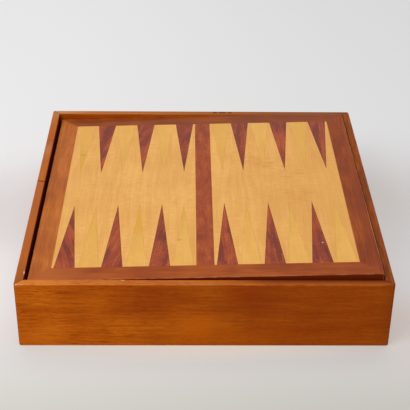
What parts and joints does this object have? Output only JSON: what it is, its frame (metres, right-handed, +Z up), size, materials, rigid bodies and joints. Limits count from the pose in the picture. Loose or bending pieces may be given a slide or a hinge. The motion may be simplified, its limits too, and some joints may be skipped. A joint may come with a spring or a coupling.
{
  "type": "games compendium box",
  "caption": "Square wooden games box closed by a loose lift-out backgammon and chess board, with bays for men, cups, dice, cards and dominoes.",
  "frame": {"origin": "on the table, under the middle of the box", "axes": "+X the right of the box, +Y its back, +Z up out of the box"},
  "size_m": [0.35, 0.35, 0.076],
  "materials": {
    "box_wood": "varnished, semi-gloss",
    "panel_plywood": "sanded",
    "lining_wood": "varnished, satin",
    "baize": "matt cloth",
    "divider_wood": "varnished, satin",
    "rail_wood": "varnished, satin",
    "field_maple": "varnished, satin",
    "bar_mahogany": "varnished, satin",
    "dark_veneer": "varnished, satin",
    "light_veneer": "varnished, satin",
    "cup_leather": "grained",
    "ivory_plastic": "polished",
    "dark_plastic": "polished",
    "men_boxwood": "waxed",
    "men_rosewood": "waxed",
    "card_stock": "linen card",
    "domino_box_wood": "waxed"
  },
  "bodies": {
    "box": {"baize_lining": "baize", "bishops_dark": "men_rosewood", "bishops_light": "men_boxwood", "bottom_panel": "panel_plywood", "box_side_back": "box_wood", "box_side_front": "box_wood", "box_side_left": "box_wood", "box_side_right": "box_wood", "card_decks": "card_stock", "dice_cup_back": "cup_leather", "dice_cup_front": "cup_leather", "dice_dark": "dark_plastic", "dice_light": "ivory_plastic", "divider_back_strip": "divider_wood", "divider_chess": "divider_wood", "divider_cup_bay": "divider_wood", "divider_dominoes": "divider_wood", "divider_front_row": "divider_wood", "divider_right_column": "divider_wood", "divider_stones": "divider_wood", "dividers_card_bays": "divider_wood", "domino_box": "domino_box_wood", "dominoes": "dark_plastic", "doubling_cube": "ivory_plastic", "king_dark": "men_rosewood", "king_light": "men_boxwood", "knights_dark": "men_rosewood", "knights_light": "men_boxwood", "lining_back": "lining_wood", "lining_front": "lining_wood", "lining_left": "lining_wood", "lining_right": "lining_wood", "pawns_dark": "men_rosewood", "pawns_light": "men_boxwood", "queen_dark": "men_rosewood", "queen_light": "men_boxwood", "rooks_dark": "men_rosewood", "rooks_light": "men_boxwood", "stones_dark": "men_rosewood", "stones_light": "men_boxwood"},
    "games_board": {"board_core": "panel_plywood", "board_rail_back": "rail_wood", "board_rail_front": "rail_wood", "board_rail_left": "rail_wood", "board_rail_right": "rail_wood", "centre_bar": "bar_mahogany", "chess_border": "bar_mahogany", "chess_dark_squares": "dark_veneer", "chess_light_squares": "field_maple", "dark_points": "dark_veneer", "field_left": "field_maple", "field_right": "field_maple", "light_points": "light_veneer"},
    "domino_lid": {"domino_lid": "domino_box_wood"}
  },
  "joints": [
    {"name": "board_lift", "type": "slide", "parent": "box", "child": "games_board", "axis": [0, 0, 1], "range_m": [0, 0.25]},
    {"name": "domino_lid_slide", "type": "slide", "parent": "box", "child": "domino_lid", "axis": [1, 0, 0], "range_m": [0, 0.112]}
  ]
}
